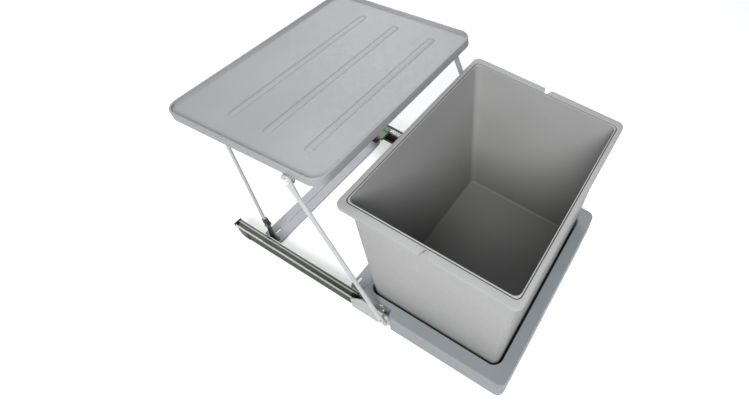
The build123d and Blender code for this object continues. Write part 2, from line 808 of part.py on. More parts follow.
def arm_spacer(side):
    """The nylon bush between a side bracket and the front arm's foot."""
    start = side * (bracket_inner_x + bracket_sheet)
    length = arm_outer_x - arm_sheet - arm_face_gap - bracket_inner_x - bracket_sheet
    with BuildPart() as spacer:
        with BuildSketch(side_plane(start, arm_pivot_y, arm_pivot_z)):
            Circle(arm_spacer_radius)
            Circle(arm_pin_radius, mode=Mode.SUBTRACT)
        extrude(amount=side * length)
    return spacer


def arm_pin(side):
    """The shouldered rivet through a side bracket, its spacer and the foot of a front arm."""
    seat = side * bracket_inner_x
    with BuildPart() as pin:
        with BuildSketch(side_plane(seat, arm_pivot_y, arm_pivot_z)):
            Circle(arm_pin_radius)
        extrude(amount=side * (arm_outer_x + arm_face_gap - bracket_inner_x))
        with BuildSketch(side_plane(seat, arm_pivot_y, arm_pivot_z)):
            Circle(arm_head_radius)
        extrude(amount=-side * arm_head_height / 2)
        with BuildSketch(side_plane(side * (arm_outer_x + arm_face_gap), arm_pivot_y, arm_pivot_z)):
            Circle(arm_head_radius)
        extrude(amount=side * arm_head_height)
        chamfer(
            pin.faces().sort_by(Axis.X)[-1 if side > 0 else 0].edges(), arm_head_height / 2
        )
    return pin


def front_arm(side):
    """A flat steel bar with a round eye at each end, wider than the bar between them."""
    half_bar = arm_width / 2
    near_head = arm_length - arm_taper_length
    with BuildPart() as arm:
        with BuildSketch(link_plane(side * (arm_outer_x - arm_sheet), arm_foot, arm_head)):
            Circle(arm_foot_radius)
            Polygon(
                (0, arm_foot_radius), (0, -arm_foot_radius), (arm_taper_length, -half_bar),
                (near_head, -half_bar), (arm_length, -arm_tab_radius),
                (arm_length, arm_tab_radius), (near_head, half_bar),
                (arm_taper_length, half_bar), align=None,
            )
            with Locations((arm_length, 0)):
                Circle(arm_tab_radius)
        extrude(amount=side * arm_sheet)
        chamfer(
            arm.faces().sort_by(Axis.X)[-1 if side > 0 else 0].edges(), arm_edge_chamfer
        )
        with BuildSketch(link_plane(0, arm_foot, arm_head)):
            Circle(arm_pin_radius + pin_play)
            with Locations((arm_length, 0)):
                Circle(arm_rivet_radius)
        extrude(amount=side * (arm_outer_x + arm_sheet), mode=Mode.SUBTRACT)
    return arm


def head_rivet(side):
    """The rivet in the head of a front arm."""
    seat = side * arm_outer_x
    with BuildPart() as rivet:
        with BuildSketch(side_plane(seat, arm_head.Y, arm_head.Z)):
            Circle(arm_head_radius)
        extrude(amount=side * arm_head_height)
        chamfer(
            rivet.faces().sort_by(Axis.X)[-1 if side > 0 else 0].edges(), arm_head_height / 2
        )
        with BuildSketch(side_plane(seat, arm_head.Y, arm_head.Z)):
            Circle(arm_rivet_radius)
        extrude(amount=-side * arm_sheet)
    return rivet


def lid():
    """The lid: a shallow dished panel with a skirt, three long beads and a lug for each front arm."""
    middle = lid_depth / 2
    underside = lid_recess + lid_panel
    with BuildPart() as cover:
        with BuildSketch(lid_plane()):
            with Locations((0, middle)):
                RectangleRounded(lid_width, lid_depth, lid_corner)
        extrude(amount=-lid_skirt)
        with BuildSketch(lid_plane(lid_skirt)):
            with Locations((0, middle)):
                RectangleRounded(
                    lid_width - 2 * lid_wall, lid_depth - 2 * lid_wall, lid_corner - lid_wall
                )
        extrude(amount=lid_skirt - underside, mode=Mode.SUBTRACT)
        with BuildSketch(lid_plane()):
            with Locations((0, middle)):
                RectangleRounded(
                    lid_width - 2 * lid_lip, lid_depth - 2 * lid_lip, lid_corner - lid_lip
                )
        extrude(amount=-lid_recess, mode=Mode.SUBTRACT)
        panel_face = cover.faces().filter_by(
            lambda face: abs(lid_plane(lid_recess).to_local_coords(face.center()).Z) < 0.01
        ).sort_by(SortBy.AREA)[-1]
        chamfer(panel_face.edges(), lid_recess_round)
        top_face = cover.faces().filter_by(
            lambda face: abs(lid_plane().to_local_coords(face.center()).Z) < 0.01
        ).sort_by(SortBy.AREA)[-1]
        chamfer(top_face.edges(), lid_lip_round)
        with BuildSketch(lid_plane(lid_recess)):
            with Locations(*[(0, place) for place in lid_bead_places]):
                SlotOverall(lid_bead_length, lid_bead_width)
        extrude(amount=lid_bead_height)
        bead_tops = cover.faces().filter_by(
            lambda face: abs(
                lid_plane(lid_recess - lid_bead_height).to_local_coords(face.center()).Z
            ) < 0.01
        )
        chamfer(bead_tops.edges(), lid_bead_round)
        for side, _ in SIDES:
            skirt_inside = side * (lid_width / 2 - lid_wall)
            with BuildSketch(lid_side_plane(skirt_inside)):
                with Locations((lid_arm_u, -lid_arm_drop)):
                    Circle(lid_lug_radius)
                with Locations((lid_arm_u, -underside)):
                    Rectangle(3 * lid_lug_radius, lid_panel)
                make_hull()
            extrude(amount=side * lid_wall)
            with BuildSketch(lid_side_plane(skirt_inside)):
                with Locations((lid_arm_u, -lid_arm_drop)):
                    Circle(arm_rivet_radius)
            extrude(amount=side * lid_wall, mode=Mode.SUBTRACT)
    return cover


def lid_bush(side):
    """The bush in the lid's lug, which the head of a front arm turns against."""
    skirt_inside = lid_width / 2 - lid_wall
    face = arm_outer_x - arm_sheet - arm_face_gap
    with BuildPart() as bush:
        with BuildSketch(side_plane(side * lid_width / 2, arm_head.Y, arm_head.Z)):
            Circle(bush_radius)
        extrude(amount=side * (face - lid_width / 2))
        with BuildSketch(side_plane(side * skirt_inside, arm_head.Y, arm_head.Z)):
            Circle(arm_rivet_radius)
        extrude(amount=side * lid_wall)
        with BuildSketch(side_plane(side * skirt_inside, arm_head.Y, arm_head.Z)):
            Circle(bush_washer_radius)
        extrude(amount=-side * bush_washer)
    return bush


def lid_hinge(side):
    """The two-eared bracket under the lid's rear edge that a rear rod is pinned in."""
    underside = lid_recess + lid_panel
    ear_inside = rod_eye_thickness / 2 + fork_play
    centre = side * lid_hinge_x
    base_u = lid_hinge_u + hinge_ear_round - hinge_base_u / 2 + hinge_base
    with BuildPart() as hinge:
        with BuildSketch(lid_plane(underside)):
            with Locations((centre, base_u)):
                Rectangle(hinge_base_x, hinge_base_u)
        extrude(amount=-hinge_base)
        with BuildSketch(lid_side_plane(centre)) as ear:
            with Locations((lid_hinge_u, -lid_hinge_drop)):
                Circle(hinge_ear_round)
            with Locations((base_u, -underside - hinge_base / 2)):
                Rectangle(hinge_base_u - hinge_base, hinge_base)
            make_hull()
        extrude(amount=ear_inside + hinge_ear, both=True)
        with BuildSketch(lid_side_plane(centre)):
            with Locations((lid_hinge_u, -underside - hinge_base)):
                Rectangle(
                    3 * hinge_base_u, 2 * lid_hinge_drop, align=(Align.CENTER, Align.MAX)
                )
        extrude(amount=ear_inside, both=True, mode=Mode.SUBTRACT)
        with BuildSketch(lid_side_plane(centre)):
            with Locations((lid_hinge_u, -lid_hinge_drop)):
                Circle(pin_radius)
        extrude(amount=hinge_base_x, both=True, mode=Mode.SUBTRACT)
    return hinge


def headed_pin(x, centre, half_length):
    """A pin along X with a flat head at each end, as long between its heads as the pieces it joins."""
    with BuildPart() as pin:
        with BuildSketch(side_plane(x, centre.Y, centre.Z)):
            Circle(pin_radius)
        extrude(amount=half_length, both=True)
        for end in (1, -1):
            with BuildSketch(side_plane(x + end * half_length, centre.Y, centre.Z)):
                Circle(pin_head_radius)
            extrude(amount=end * pin_head_height)
    return pin


def rear_post(side):
    """The dark steel post on the rear crossbar that a rear rod's fork is pinned to."""
    centre = side * rear_pivot_x
    base_top = crossbar_height + rear_post_base
    with BuildPart() as post:
        with BuildSketch(Plane((centre, rear_pivot_y, crossbar_height))) as base:
            Rectangle(rear_post_base_x, rear_post_base_y)
            fillet(base.vertices(), rear_post_base)
        extrude(amount=rear_post_base)
        with BuildSketch(side_plane(centre)):
            with Locations((rear_pivot_y, rear_pivot_z)):
                Circle(rear_post_round)
            with Locations((rear_pivot_y, base_top)):
                Rectangle(rear_post_base_y - 2 * rear_post_base, rear_post_base)
            make_hull()
        extrude(amount=rear_post_thickness / 2, both=True)
        with BuildSketch(side_plane(centre)):
            with Locations((rear_pivot_y, rear_pivot_z)):
                Circle(pin_radius + pin_play)
        extrude(amount=rear_post_base_x, both=True, mode=Mode.SUBTRACT)
    return post


def rod_fork(side):
    """The dark fork on a rear rod's foot, which straddles the post."""
    slot_half = rear_post_thickness / 2 + fork_play
    flat = link_plane(side * rear_pivot_x, rod_foot, rod_head)
    with BuildPart() as fork:
        with BuildSketch(flat):
            Circle(fork_round)
            with Locations((fork_length, 0)):
                Rectangle(rod_radius, 2 * rod_radius + fork_ear, align=(Align.MAX, Align.CENTER))
            make_hull()
        extrude(amount=slot_half + fork_ear, both=True)
        with BuildSketch(flat):
            with Locations((fork_slot, 0)):
                Rectangle(fork_length, 3 * fork_round, align=(Align.MAX, Align.CENTER))
        extrude(amount=slot_half, both=True, mode=Mode.SUBTRACT)
        with BuildSketch(flat):
            Circle(pin_radius)
        extrude(amount=2 * fork_length, both=True, mode=Mode.SUBTRACT)
    return fork


def rear_rod(side):
    """A round rod from its fork, leaning inwards to a flattened eye at the lid's hinge."""
    foot = link_plane(side * rear_pivot_x, rod_foot, rod_head)
    head = link_plane(side * lid_hinge_x, rod_foot, rod_head)
    start = foot.origin + foot.x_dir * fork_length
    end = head.origin + head.x_dir * (rod_length - rod_eye_neck / 2)
    with BuildPart() as rod:
        with BuildLine() as path:
            Polyline(
                start, start + foot.x_dir * rod_straight, end - head.x_dir * rod_straight, end
            )
        with BuildSketch(Plane(origin=start, x_dir=(1, 0, 0), z_dir=foot.x_dir)):
            Circle(rod_radius)
        sweep(path=path.line, transition=Transition.RIGHT)
        with BuildSketch(head):
            with Locations((rod_length, 0)):
                Circle(rod_eye_radius)
            with Locations((rod_length - rod_eye_neck, 0)):
                Circle(rod_radius)
            make_hull()
        extrude(amount=rod_eye_thickness / 2, both=True)
        with BuildSketch(head):
            with Locations((rod_length, 0)):
                Circle(pin_radius + pin_play)
        extrude(amount=rod_eye_thickness, both=True, mode=Mode.SUBTRACT)
    return rod


for side, word in SIDES:
    write(fixed_rail(side), f"fixed_rail_{word}")
    write(rail_end_cap(side), f"rail_end_cap_{word}")
    write(rail_track_cap(side), f"rail_track_cap_{word}")
    write(inner_rail(side), f"inner_rail_{word}")
    write(ball_cage(side), f"ball_cage_{word}")
    write(bearing_balls(side), f"bearing_balls_{word}")
    write(side_bracket(side), f"side_bracket_{word}")
    write(arm_spacer(side), f"arm_spacer_{word}")
    write(arm_pin(side), f"arm_pin_{word}")
    write(front_arm(side), f"front_arm_{word}")
    write(head_rivet(side), f"arm_head_rivet_{word}")
    write(lid_bush(side), f"lid_bush_{word}")
    write(lid_hinge(side), f"lid_hinge_{word}")
    hinge_reach = rod_eye_thickness / 2 + fork_play + hinge_ear
    write(headed_pin(side * lid_hinge_x, rod_head, hinge_reach), f"lid_hinge_pin_{word}")
    write(rear_rod(side), f"rear_rod_{word}")
    write(rod_fork(side), f"rod_fork_{word}")
    fork_reach = rear_post_thickness / 2 + fork_play + fork_ear
    write(headed_pin(side * rear_pivot_x, rod_foot, fork_reach), f"fork_bolt_{word}")
    write(rear_post(side), f"rear_post_{word}")

write(crossbar(rear_crossbar_y, rear_crossbar_depth, 1), "rear_crossbar")
write(crossbar(front_crossbar_y, front_crossbar_depth, -1), "front_crossbar")
write(frame_rivets(), "frame_rivets")
write(stop_block(), "stop_block")
write(waste_bin(), "bin")
write(tray(), "tray")
write(bracket_screws(), "bracket_screws")
write(tray_screws(), "tray_screws")
write(lid(), "lid")
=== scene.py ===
import logging
from dataclasses import dataclass
from enum import Enum
from math import cos, radians, sin

import bpy
import numpy as np
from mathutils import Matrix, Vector


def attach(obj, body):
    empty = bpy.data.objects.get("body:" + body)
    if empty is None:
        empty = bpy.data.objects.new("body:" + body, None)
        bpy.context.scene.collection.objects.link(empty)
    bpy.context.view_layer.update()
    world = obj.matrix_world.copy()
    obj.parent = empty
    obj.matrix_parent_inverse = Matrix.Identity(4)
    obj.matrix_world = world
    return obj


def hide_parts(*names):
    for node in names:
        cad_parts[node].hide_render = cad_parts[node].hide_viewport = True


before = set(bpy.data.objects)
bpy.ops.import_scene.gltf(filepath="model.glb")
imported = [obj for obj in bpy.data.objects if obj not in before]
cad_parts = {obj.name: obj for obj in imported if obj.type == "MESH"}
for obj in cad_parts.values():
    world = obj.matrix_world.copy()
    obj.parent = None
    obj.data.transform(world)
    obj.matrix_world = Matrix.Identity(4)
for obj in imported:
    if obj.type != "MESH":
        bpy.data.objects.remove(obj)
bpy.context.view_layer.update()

log = logging.getLogger("pull_out_bin")
MM = 0.001
# Painted shade: the dark olive that a surface's colour is mixed towards where its mesh asks for it.
PAINTED_SHADE_COLOUR = (0.035, 0.035, 0.024)
MIN_CORNER = 0.05
TOUCH = 0.01


class Grain(Enum):
    """Which way a surface's fine texture runs."""

    EVEN = (1.0, 1.0, 1.0)
    ALONG_Y = (1.0, 0.02, 1.0)


class ShaderGraph:
    """A material's nodes, made and joined by short calls."""

    def __init__(self, name: str) -> None:
        """Starts an empty material with a shader and an output.

        Args:
            name: the material's name.
        """
        self.material = bpy.data.materials.new(name)
        self.material.use_nodes = True
        self.tree = self.material.node_tree
        self.tree.nodes.clear()
        self.output = self.node("ShaderNodeOutputMaterial")
        self.shader = self.node("ShaderNodeBsdfPrincipled")
        self.join(self.shader, "BSDF", self.output, "Surface")
        self.place = self.node("ShaderNodeTexCoord")

    def node(self, kind: str, **settings: object) -> bpy.types.Node:
        """Adds a node.

        Args:
            kind: the node's class name.
            settings: attributes, or values of inputs written as in_Name.

        Returns:
            The new node.
        """
        made = self.tree.nodes.new(kind)
        for key, value in settings.items():
            if key.startswith("in_"):
                made.inputs[key[3:].replace("_", " ")].default_value = value
            else:
                setattr(made, key, value)
        return made

    def join(
        self, source: bpy.types.Node, out: str | int, target: bpy.types.Node, into: str | int
    ) -> None:
        """Links one node's output to another's input.

        Args:
            source: the node that gives.
            out: its output's name or number.
            target: the node that takes.
            into: its input's name or number.
        """
        self.tree.links.new(source.outputs[out], target.inputs[into])

    def noise(self, scale: float, detail: float, grain: Grain = Grain.EVEN) -> bpy.types.Node:
        """Adds a noise in the object's own metres.

        Args:
            scale: cells per metre.
            detail: how many finer layers it has.
            grain: the way it is drawn out.

        Returns:
            The noise node.
        """
        mapping = self.node("ShaderNodeMapping")
        mapping.inputs["Scale"].default_value = grain.value
        self.join(self.place, "Object", mapping, "Vector")
        noise = self.node("ShaderNodeTexNoise", in_Scale=scale, in_Detail=detail)
        self.join(mapping, "Vector", noise, "Vector")
        return noise

    def ramp(
        self, source: bpy.types.Node, out: str | int, start: float, stop: float,
        low: float, high: float,
    ) -> bpy.types.Node:
        """Maps a range of one value onto a range of another, and holds it outside.

        Args:
            source: the node that gives the value.
            out: its output's name or number.
            start: the value that gives low.
            stop: the value that gives high.
            low: the result at start.
            high: the result at stop.

        Returns:
            The map node, whose output is Result.
        """
        ramp = self.node("ShaderNodeMapRange")
        for name, value in (
            ("From Min", start), ("From Max", stop), ("To Min", low), ("To Max", high),
        ):
            ramp.inputs[name].default_value = value
        self.join(source, out, ramp, "Value")
        return ramp

    def mix(
        self, share: bpy.types.Node, out: str | int,
        first: tuple[float, float, float] | bpy.types.Node,
        second: tuple[float, float, float] | bpy.types.Node,
    ) -> bpy.types.Node:
        """Mixes two colours, each plain or from another mix.

        Args:
            share: the node that gives the second colour's share.
            out: its output's name or number.
            first: the colour at share 0.
            second: the colour at share 1.

        Returns:
            The mix node, whose colour output is number 2.
        """
        mixed = self.node("ShaderNodeMix", data_type="RGBA")
        self.join(share, out, mixed, 0)
        for slot, colour in ((6, first), (7, second)):
            if isinstance(colour, tuple):
                mixed.inputs[slot].default_value = (*colour, 1.0)
            else:
                self.join(colour, 2, mixed, slot)
        return mixed


@dataclass(frozen=True)
class Finish:
    """A surface finish: colour with a slow drift and fine specks, grain, and rounded edges."""

    name: str
    colour: tuple[float, float, float]
    drift: float = 0.05
    drift_scale: float = 7.0
    specks: float = 0.03
    roughness: float = 0.5
    roughness_drift: float = 0.06
    metallic: float = 0.0
    specular: float = 0.5
    glance: float = 1.0
    grain: Grain = Grain.EVEN
    grain_scale: float = 900.0
    grain_height: float = 0.00006
    edge: float = 0.0006
    # How strongly a mesh's painted shade attribute darkens this finish.
    painted_shade: float = 0.0

    def shade(self, share: float) -> tuple[float, float, float]:
        """The colour made lighter or darker by a share of itself."""
        return tuple(min(1.0, part * (1.0 + share)) for part in self.colour)

    def tint(self, graph: ShaderGraph) -> bpy.types.Node:
        """Builds the colour: a slow drift with fine specks in it, and painted shade where a mesh
        carries it.

        Args:
            graph: the material's nodes.

        Returns:
            The mix node that gives the colour.
        """
        slow = graph.ramp(graph.noise(self.drift_scale, 4.0), "Fac", 0.3, 0.7, 0.0, 1.0)
        body = graph.mix(slow, "Result", self.shade(-self.drift), self.shade(self.drift))
        fine = graph.noise(self.grain_scale / 3, 2.0, self.grain)
        dots = graph.ramp(fine, "Fac", 0.58, 0.72, 0.0, 0.5)
        specked = graph.mix(dots, "Result", body, self.shade(-self.drift - 4 * self.specks))
        if not self.painted_shade:
            return specked
        # Painted shade: the mesh's per-point attribute mixes the colour towards the dark olive.
        held = graph.node("ShaderNodeAttribute", attribute_name="painted_shade")
        painted_shade_share = graph.ramp(held, "Fac", 0.0, 1.0, 0.0, self.painted_shade)
        return graph.mix(painted_shade_share, "Result", specked, PAINTED_SHADE_COLOUR)

    def material(self) -> bpy.types.Material:
        """Builds the finish.

        Returns:
            The material.
        """
        graph = ShaderGraph(self.name)
        shader = graph.shader
        shader.inputs["Metallic"].default_value = self.metallic
        shader.inputs["Specular IOR Level"].default_value = self.specular
        shader.inputs["Specular Tint"].default_value = (self.glance, self.glance, self.glance, 1.0)
        graph.join(self.tint(graph), 2, shader, "Base Color")
        rough = graph.noise(self.grain_scale / 12, 3.0, self.grain)
        low = max(0.03, self.roughness - self.roughness_drift)
        high = self.roughness + self.roughness_drift
        graph.join(graph.ramp(rough, "Fac", 0.3, 0.7, low, high), "Result", shader, "Roughness")
        fine = graph.noise(self.grain_scale, 2.0, self.grain)
        bump = graph.node("ShaderNodeBump", in_Strength=1.0, in_Distance=self.grain_height)
        graph.join(fine, "Fac", bump, "Height")
        corner = graph.node("ShaderNodeBevel", samples=4, in_Radius=self.edge)
        graph.join(corner, "Normal", bump, "Normal")
        graph.join(bump, "Normal", shader, "Normal")
        return graph.material


@dataclass(frozen=True)
class RolledFinish(Finish):
    """A rolled rail's finish: painted highlights on its hems, painted dark reflection and shade in
    its track, a dull web.
    """

    web: tuple[float, float, float] = (0.058, 0.064, 0.057)
    # The track's colour is painted dark reflection and shade.
    track: tuple[float, float, float] = (0.10, 0.10, 0.085)
    hem_height: float = 0.0405
    # Where the painted highlight lines lie: outer hem, track edge and inner hem, as distances from
    # the centre.
    outer_hem: tuple[float, float] = (0.1853, 0.1880)
    track_edge: tuple[float, float] = (0.1762, 0.1777)
    inner_hem: tuple[float, float] = (0.1700, 0.1729)
    blend: float = 0.0002
    streak_scale: float = 260.0
    streak_gain: float = 1.6

    def band(
        self, graph: ShaderGraph, across: bpy.types.Node, limits: tuple[float, float]
    ) -> bpy.types.Node:
        """A value that is 1 between two distances from the centre plane and 0 elsewhere.

        Args:
            graph: the material's nodes.
            across: the node that gives the distance.
            limits: the two distances.

        Returns:
            The node that gives the value.
        """
        rise = graph.ramp(across, 0, limits[0] - self.blend, limits[0] + self.blend, 0.0, 1.0)
        fall = graph.ramp(across, 0, limits[1] - self.blend, limits[1] + self.blend, 1.0, 0.0)
        both_sides = graph.node("ShaderNodeMath", operation="MULTIPLY")
        graph.join(rise, "Result", both_sides, 0)
        graph.join(fall, "Result", both_sides, 1)
        return both_sides

    def tint(self, graph: ShaderGraph) -> bpy.types.Node:
        """Builds the colour: the dull web, and on top a track painted dark as reflection and shade
        between hems painted as highlights.

        Args:
            graph: the material's nodes.

        Returns:
            The mix node that gives the colour.
        """
        highlight_tint = super().tint(graph)
        axes = graph.node("ShaderNodeSeparateXYZ")
        graph.join(graph.place, "Object", axes, "Vector")
        across = graph.node("ShaderNodeMath", operation="ABSOLUTE")
        graph.join(axes, "X", across, 0)
        # Painted highlights: bright lines along both hems and the track's edge.
        hems = graph.node("ShaderNodeMath", operation="MAXIMUM")
        graph.join(self.band(graph, across, self.outer_hem), 0, hems, 0)
        graph.join(self.band(graph, across, self.inner_hem), 0, hems, 1)
        highlight_lines = graph.node("ShaderNodeMath", operation="MAXIMUM")
        graph.join(hems, 0, highlight_lines, 0)
        graph.join(self.band(graph, across, self.track_edge), 0, highlight_lines, 1)
        # On top, the painted highlight lines over the track's painted dark reflection and shade.
        top = graph.mix(highlight_lines, 0, self.track, highlight_tint)
        high = graph.ramp(
            axes, "Z", self.hem_height - self.blend, self.hem_height + self.blend, 0.0, 1.0
        )
        drawn = graph.noise(self.streak_scale, 3.0, self.grain)
        streaks = graph.ramp(drawn, "Fac", 0.35, 0.65, 0.0, 1.0)
        paler = tuple(self.streak_gain * part for part in self.web)
        dull = graph.mix(streaks, "Result", self.web, paler)
        return graph.mix(high, "Result", dull, top)


# The bin's plastic takes painted shade in its groove, deep inside and low on its outside.
BIN_PLASTIC = Finish(
    "bin_grained_plastic", (0.39, 0.392, 0.385), roughness=0.44, grain_scale=1500.0,
    grain_height=0.00005, painted_shade=0.8, specular=0.3,
)
LID_PLASTIC = Finish(
    "lid_grained_plastic", (0.36, 0.36, 0.37), roughness=0.42, drift=0.06, grain_scale=1500.0,
    grain_height=0.00005, specular=0.2,
)
TRAY_PLASTIC = Finish(
    "tray_grained_plastic", (0.25, 0.27, 0.285), roughness=0.42, grain_scale=1500.0, edge=0.0014,
)
ARM_COAT = Finish("arm_powder_coat", (0.52, 0.53, 0.53), roughness=0.36, grain_scale=700.0)
CROSSBAR_COAT = Finish(
    "crossbar_powder_coat", (0.40, 0.40, 0.43), roughness=0.4, grain_scale=700.0,
)
RAIL_ZINC = RolledFinish(
    "rail_zinc", (0.55, 0.57, 0.55), roughness=0.38, metallic=0.6, specular=0.15, glance=0.4,
    grain=Grain.ALONG_Y, grain_scale=1800.0, grain_height=0.00002,
)
BRACKET_ZINC = Finish(
    "bracket_zinc", (0.36, 0.38, 0.36), roughness=0.33, metallic=0.8, grain_scale=900.0,
    grain_height=0.00002,
)
BRIGHT_STEEL = Finish(
    "bright_steel", (0.62, 0.62, 0.63), roughness=0.22, metallic=1.0, grain_scale=2200.0,
    grain_height=0.00001,
)
DARK_STEEL = Finish("phosphated_steel", (0.06, 0.06, 0.065), roughness=0.42, metallic=0.4)
BLACK_PLASTIC = Finish("black_cap_plastic", (0.014, 0.014, 0.015), roughness=0.4, specular=0.15)
GREEN_PLASTIC = Finish("green_stop_plastic", (0.07, 0.17, 0.085), roughness=0.45)
NYLON = Finish("natural_nylon", (0.60, 0.60, 0.57), roughness=0.42)


@dataclass(frozen=True)
class Dress:
    """Which CAD nodes wear a finish."""

    finish: Finish
    nodes: tuple[str, ...]


SIDES = ("left", "right")


def both(*names: str) -> tuple[str, ...]:
    """The left and right nodes of each name.

    Args:
        names: node names without their side.

    Returns:
        The full node names.
    """
    return tuple(f"{name}_{side}" for name in names for side in SIDES)


WARDROBE = (
    Dress(BIN_PLASTIC, ("bin",)),
    Dress(LID_PLASTIC, ("lid",)),
    Dress(TRAY_PLASTIC, ("tray",)),
    Dress(ARM_COAT, both("front_arm", "rear_rod")),
    Dress(CROSSBAR_COAT, ("rear_crossbar", "front_crossbar")),
    Dress(RAIL_ZINC, both("fixed_rail", "inner_rail")),
    Dress(BRACKET_ZINC, both("side_bracket", "lid_hinge")),
    Dress(
        BRIGHT_STEEL,
        both(
            "ball_cage", "bearing_balls", "arm_pin", "arm_head_rivet", "lid_hinge_pin", "fork_bolt"
        ) + ("frame_rivets", "bracket_screws", "tray_screws"),
    ),
    Dress(DARK_STEEL, both("rod_fork", "rear_post")),
    Dress(BLACK_PLASTIC, both("rail_end_cap", "rail_track_cap")),
    Dress(GREEN_PLASTIC, ("stop_block",)),
    Dress(NYLON, both("arm_spacer", "lid_bush")),
)


@dataclass
class RingLoft:
    """A closed shell through level rings, each a rectangle with round corners."""

    arc_steps: int = 8
    side_steps: int = 41
    crowding: float = 2.2

    def rings(self, levels: np.ndarray) -> np.ndarray:
        """Works out all rings at once.

        A ring is four quarter circles about the corner centres (half size less radius), joined by
        straights. A straight's points are its ends mixed by a share that runs from 0 to 1 and is
        crowded towards its middle by a power of the distance from there.

        Args:
            levels: rows of half width, half depth, corner radius and height.

        Returns:
            The points, as rings by points by x, y and height.
        """
        half_x, half_y, corner, height = levels.T[:, :, None, None]
        sign_x = np.array([1.0, -1.0, -1.0, 1.0])[None, :, None]
        sign_y = np.array([1.0, 1.0, -1.0, -1.0])[None, :, None]
        turn = np.linspace(0.0, np.pi / 2, self.arc_steps + 1)[None, None, :]
        angle = turn + np.arange(4)[None, :, None] * np.pi / 2
        arc_x = sign_x * (half_x - corner) + corner * np.cos(angle)
        arc_y = sign_y * (half_y - corner) + corner * np.sin(angle)
        reach = np.linspace(-1.0, 1.0, self.side_steps + 2)[1:-1]
        share = 0.5 + 0.5 * np.sign(reach) * np.abs(reach) ** self.crowding

        def edge(arc: np.ndarray) -> np.ndarray:
            """Puts the straight that follows each arc behind it.

            Args:
                arc: one coordinate of the arcs, as rings by corners by points.

            Returns:
                The same with the straights' points added.
            """
            end = arc[:, :, -1:]
            start = np.roll(arc[:, :, :1], -1, axis=1)
            return np.concatenate((arc, end + (start - end) * share), axis=2)

        x, y = edge(arc_x), edge(arc_y)
        z = np.broadcast_to(height, x.shape)
        return np.stack((x, y, z), axis=-1).reshape(len(levels), -1, 3)

    def mesh(
        self, name: str, grid: np.ndarray, sharp: float = 40.0, painted_shade: np.ndarray | None = None
    ) -> bpy.types.Object:
        """Makes one closed object from a grid of rings.

        Quads join each ring to the next, the last point of a ring to its first, and one flat face
        closes the first ring and one the last.

        Args:
            name: the object's name.
            grid: rings by points by x, y, z in millimetres.
            sharp: the angle in degrees past which an edge shows.
            painted_shade: how much painted shade each ring carries, from 0 to 1.

        Returns:
            The object.
        """
        count, around = grid.shape[:2]
        index = np.arange(count * around).reshape(count, around)
        near, far = index[:-1], index[1:]
        quads = np.stack((near, np.roll(near, -1, 1), np.roll(far, -1, 1), far), axis=-1)
        faces = quads.reshape(-1, 4).tolist() + [index[0][::-1].tolist(), index[-1].tolist()]
        mesh = bpy.data.meshes.new(name)
        mesh.from_pydata((grid.reshape(-1, 3) * MM).tolist(), [], faces)
        mesh.polygons.foreach_set("use_smooth", np.ones(len(faces), dtype=bool))
        mesh.set_sharp_from_angle(angle=radians(sharp))
        # Painted shade: each ring's share goes on its points as an attribute that the material
        # reads.
        if painted_shade is not None:
            held = mesh.attributes.new("painted_shade", "FLOAT", "POINT")
            held.data.foreach_set("value", np.repeat(painted_shade, around))
        mesh.update()
        piece = bpy.data.objects.new(name, mesh)
        bpy.context.scene.collection.objects.link(piece)
        return piece


def rounding(
    half_x: float, half_y: float, corner: float, level: float, radius: float,
    start: float, stop: float, steps: int = 6,
) -> np.ndarray:
    """The rings that round an edge.

    The ring's inset from the given size is minus radius times the cosine of an angle, and its
    height is the level plus radius times the sine, as the angle runs from start to stop.

    Args:
        half_x: half the width at the middle of the rounding's circle.
        half_y: half the depth there.
        corner: the corner radius there.
        level: the height of the circle's middle.
        radius: the circle's radius.
        start: the first angle in degrees, 0 pointing outwards and 90 up.
        stop: the last angle.
        steps: how many parts the turn is divided in.

    Returns:
        Rows of half width, half depth, corner radius and height.
    """
    angle = np.radians(np.linspace(start, stop, steps + 1))
    out = radius * np.cos(angle)
    kept_corner = np.maximum(corner + out, MIN_CORNER)
    height = level + radius * np.sin(angle)
    return np.stack((half_x + out, half_y + out, kept_corner, height), axis=1)


